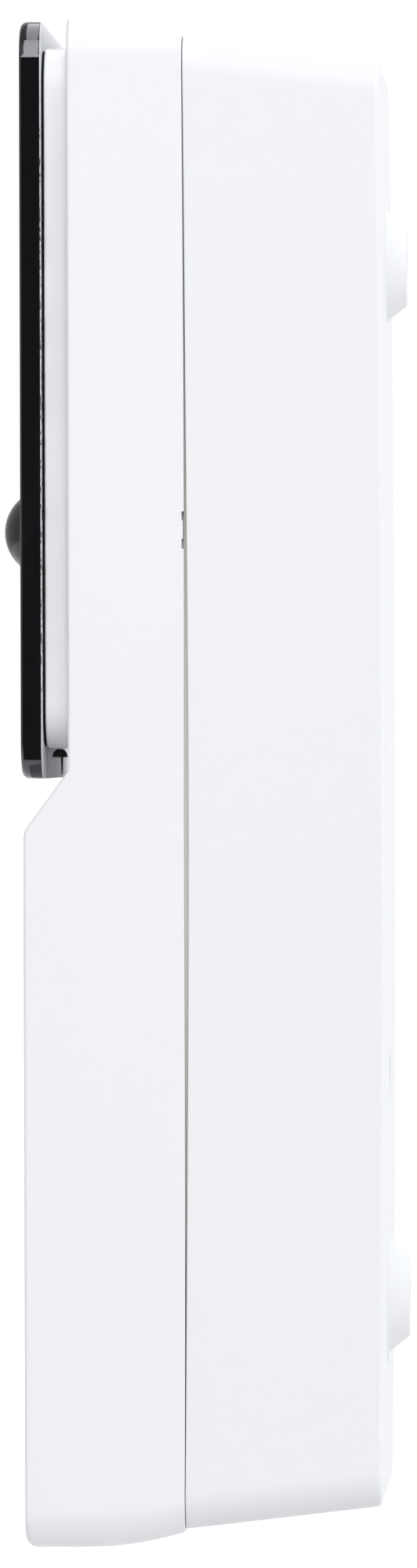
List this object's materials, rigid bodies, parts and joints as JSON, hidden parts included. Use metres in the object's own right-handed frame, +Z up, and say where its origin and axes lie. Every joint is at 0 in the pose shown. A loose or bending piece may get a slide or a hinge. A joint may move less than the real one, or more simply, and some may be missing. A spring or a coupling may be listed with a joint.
{
  "type": "video doorbell",
  "caption": "Wall-mounted video doorbell: drafted white rear box, clip-on white front with a stepped face, black glass camera panel, motion dome and lit push button.",
  "frame": {"origin": "on the wall plane, midway between the two wall screw holes in the feet of the rear housing", "axes": "+Z up, +Y into the wall, -Y out of the front face towards the visitor, +X along the width"},
  "size_m": [0.07, 0.0498, 0.185],
  "materials": {
    "white_front": "satin white moulded plastic",
    "white_rear": "fine-textured white moulded plastic",
    "white_frame": "satin white moulded plastic",
    "black_glass": "polished black glass",
    "white_print": "printed white layer",
    "clear_glass": "coated clear glass",
    "black_dome": "polished dark polyethylene",
    "black_plastic": "matt black moulded plastic",
    "grey_plastic": "matt grey moulded plastic",
    "gasket_rubber": "soft grey silicone",
    "black_rubber": "soft black rubber",
    "light_ring": "frosted clear plastic",
    "button_white": "satin white moulded plastic",
    "circuit_board": "green solder mask",
    "steel": "plated steel",
    "gold_contact": "gold-plated brass",
    "cell_wrap": "shrink wrap",
    "emitter": "tinted clear resin",
    "lens_glass": "coated lens glass",
    "tape": "black foam tape",
    "terminal_green": "green moulded plastic",
    "led_package": "white package with yellow phosphor",
    "connector_tan": "tan moulded plastic",
    "speaker_paper": "thin polymer film",
    "reset_orange": "orange moulded plastic"
  },
  "bodies": {
    "rear_unit": {"rear_housing": "white_rear", "cable_grommet": "black_rubber", "battery_holder": "black_plastic", "battery_cells": "cell_wrap", "battery_springs": "steel", "battery_plates": "gold_contact", "battery_leads": "gold_contact", "holder_screws": "steel", "power_board": "circuit_board", "power_board_screws": "steel", "terminal_block": "terminal_green", "terminal_screws": "steel", "contact_block": "black_plastic", "contact_pins": "gold_contact", "seam_gasket": "gasket_rubber"},
    "front_unit": {"front_housing": "white_front", "panel_frame": "white_frame", "frame_screws": "steel", "panel_tape": "tape", "panel_backing": "white_print", "glass_panel": "black_glass", "camera_window": "clear_glass", "lens_bezel": "black_plastic", "lens_barrel": "black_plastic", "front_lens": "lens_glass", "camera_holder": "black_plastic", "image_sensor": "emitter", "camera_board": "circuit_board", "camera_connector": "connector_tan", "sensor_board": "circuit_board", "infrared_emitters": "emitter", "light_sensor": "emitter", "pir_lens": "black_dome", "pir_sensor": "steel", "microphone_boot": "black_rubber", "microphone": "steel", "main_board": "circuit_board", "processor_shield": "steel", "radio_shield": "steel", "antenna": "steel", "board_screws": "steel", "back_plate": "grey_plastic", "plate_screws": "steel", "contact_rivets": "gold_contact", "speaker_mesh": "steel", "speaker_gasket": "tape", "speaker_frame": "black_plastic", "speaker_cone": "speaker_paper", "speaker_magnet": "steel", "light_ring": "light_ring", "ring_lights": "led_package", "button_board": "circuit_board", "button_board_screws": "steel", "board_connector": "connector_tan", "switch_body": "black_plastic", "button_spring": "steel", "reset_switch": "steel"},
    "bell_button": {"bell_button": "button_white"},
    "switch_plunger": {"switch_plunger": "reset_orange"},
    "reset_button": {"reset_button": "reset_orange"}
  },
  "joints": [
    {"name": "front_pull", "type": "slide", "parent": "rear_unit", "child": "front_unit", "axis": [0, -1, 0], "range_m": [0, 0.04]},
    {"name": "button_press", "type": "slide", "parent": "front_unit", "child": "bell_button", "axis": [0, 1, 0], "range_m": [0, 0.0005], "stiffness_N_per_m": 2500, "springref_m": -0.0006, "deforming": ["button_spring"]},
    {"name": "switch_press", "type": "slide", "parent": "front_unit", "child": "switch_plunger", "axis": [0, 1, 0], "range_m": [0, 0.0005]},
    {"name": "reset_press", "type": "slide", "parent": "front_unit", "child": "reset_button", "axis": [0, -1, 0], "range_m": [0, 0.0003], "stiffness_N_per_m": 2000, "springref_m": -0.0003}
  ],
  "couplings": [
    {"joint": "switch_press", "follows": "button_press", "ratio": 1}
  ]
}
